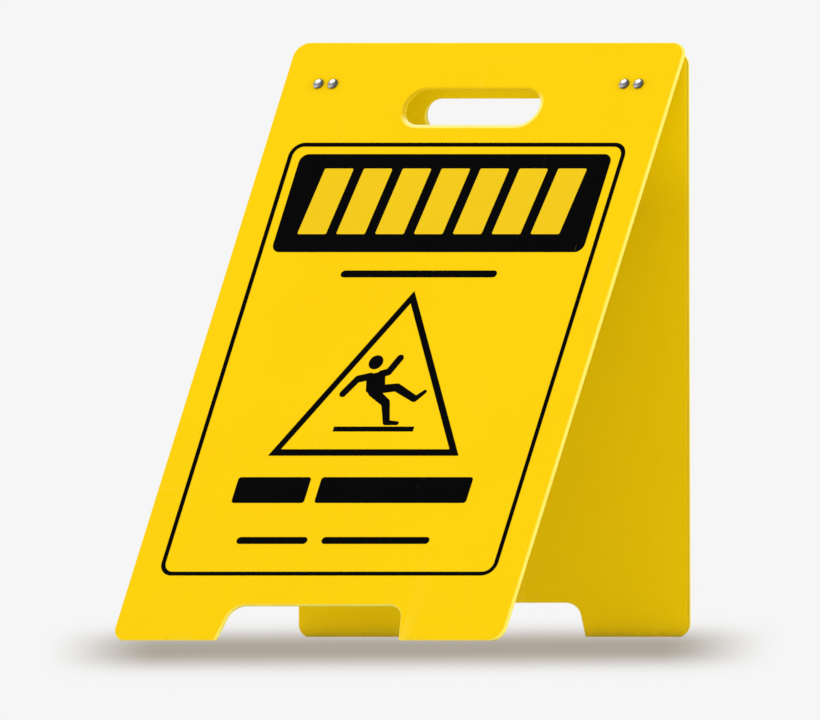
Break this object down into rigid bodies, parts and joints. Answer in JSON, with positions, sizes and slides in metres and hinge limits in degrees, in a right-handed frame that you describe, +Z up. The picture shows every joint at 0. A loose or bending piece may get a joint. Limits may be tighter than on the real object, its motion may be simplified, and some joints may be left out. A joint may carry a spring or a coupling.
{
  "type": "wet floor sign",
  "caption": "Folding A-frame floor sign of two flat plastic panels joined near the top by small riveted steel hinges, with a hand hole and cut-out feet.",
  "frame": {"origin": "on the floor, in the middle of the open sign's footprint", "axes": "+Z up; X along the panels' width; Y along the depth, with the front panel on the -Y side and the hinge pins' common axis parallel to X"},
  "size_m": [0.305, 0.2856, 0.4459],
  "materials": {
    "sign_plastic": "satin yellow polypropylene sheet, fine grained",
    "sign_print_black": "black screen-print ink, slightly glossier than the sheet",
    "sign_print_yellow": "yellow shapes left clear in the black header",
    "hinge_zinc": "zinc-plated pressed steel, dull bright",
    "hinge_pin_steel": "drawn steel wire, bright",
    "rivet_steel": "nickel-plated, polished dome"
  },
  "bodies": {
    "front": {"front_panel": "sign_plastic", "left_hinge_front_leaf": "hinge_zinc", "left_hinge_pin": "hinge_pin_steel", "right_hinge_front_leaf": "hinge_zinc", "right_hinge_pin": "hinge_pin_steel", "front_left_outer_rivet": "rivet_steel", "front_left_inner_rivet": "rivet_steel", "front_right_outer_rivet": "rivet_steel", "front_right_inner_rivet": "rivet_steel"},
    "rear": {"rear_panel": "sign_plastic", "left_hinge_rear_leaf": "hinge_zinc", "right_hinge_rear_leaf": "hinge_zinc", "rear_left_outer_rivet": "rivet_steel", "rear_left_inner_rivet": "rivet_steel", "rear_right_outer_rivet": "rivet_steel", "rear_right_inner_rivet": "rivet_steel"}
  },
  "joints": [
    {"name": "fold", "type": "hinge", "parent": "front", "child": "rear", "pos_m": [0, 0, 0.42804], "axis": [-1, 0, 0], "range_deg": [0, 35.5]}
  ]
}
